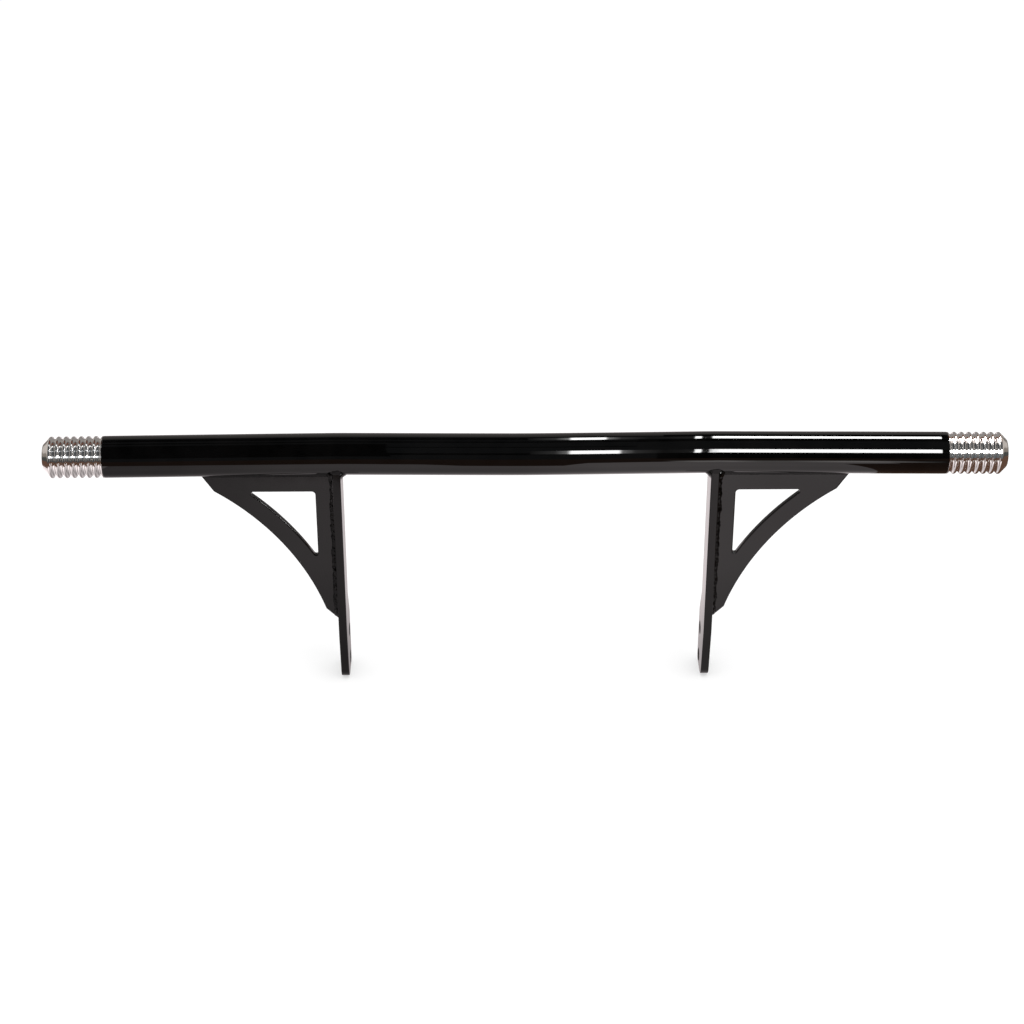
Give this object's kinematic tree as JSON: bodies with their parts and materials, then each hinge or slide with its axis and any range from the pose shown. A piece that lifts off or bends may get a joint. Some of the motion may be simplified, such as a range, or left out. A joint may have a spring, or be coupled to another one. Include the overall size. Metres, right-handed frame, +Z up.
{
  "type": "motorcycle crash bar",
  "caption": "Straight black crash bar with two flat bolt-on legs, cut-out gussets and grooved stainless end sliders.",
  "frame": {"origin": "centre of the four mounting holes, midway between the two plates", "axes": "+X along the bar to its right end, -Y the front of the bar, +Z up from the mounting holes to the tube"},
  "size_m": [0.7254, 0.0438, 0.2154],
  "materials": {
    "gloss_black_coat": "gloss black powder coat on steel",
    "coated_weld": "gloss black powder coat over a rippled weld bead",
    "polished_stainless": "turned and polished stainless steel",
    "turned_steel": "bare turned steel",
    "zinc_hardware": "zinc plated spring steel",
    "stainless_bolt": "satin stainless steel"
  },
  "bodies": {
    "bar": {"main_tube": "gloss_black_coat", "left_mount_plate": "gloss_black_coat", "right_mount_plate": "gloss_black_coat", "left_gusset": "gloss_black_coat", "right_gusset": "gloss_black_coat", "left_plate_weld": "coated_weld", "right_plate_weld": "coated_weld", "left_gusset_plate_weld": "coated_weld", "right_gusset_plate_weld": "coated_weld", "left_gusset_tube_weld": "coated_weld", "right_gusset_tube_weld": "coated_weld", "left_end_bung": "turned_steel", "right_end_bung": "turned_steel", "left_bung_weld": "turned_steel", "right_bung_weld": "turned_steel"},
    "left_slider_body": {"left_slider": "polished_stainless"},
    "right_slider_body": {"right_slider": "polished_stainless"},
    "left_bolt_body": {"left_slider_bolt": "stainless_bolt", "left_lock_washer": "zinc_hardware"},
    "right_bolt_body": {"right_slider_bolt": "stainless_bolt", "right_lock_washer": "zinc_hardware"}
  },
  "joints": [
    {"name": "left_slider_turn", "type": "hinge", "parent": "bar", "child": "left_slider_body", "pos_m": [-0.3175, -0.01755, 0.1778], "axis": [-0.9998, -0.0175, 0], "continuous": true},
    {"name": "left_bolt_back_out", "type": "slide", "parent": "bar", "child": "left_bolt_body", "axis": [-0.9998, -0.0175, 0], "range_m": [0, 0.018]},
    {"name": "right_slider_turn", "type": "hinge", "parent": "bar", "child": "right_slider_body", "pos_m": [0.3175, -0.01755, 0.1778], "axis": [0.9998, -0.0175, 0], "continuous": true},
    {"name": "right_bolt_back_out", "type": "slide", "parent": "bar", "child": "right_bolt_body", "axis": [0.9998, -0.0175, 0], "range_m": [0, 0.018]}
  ]
}
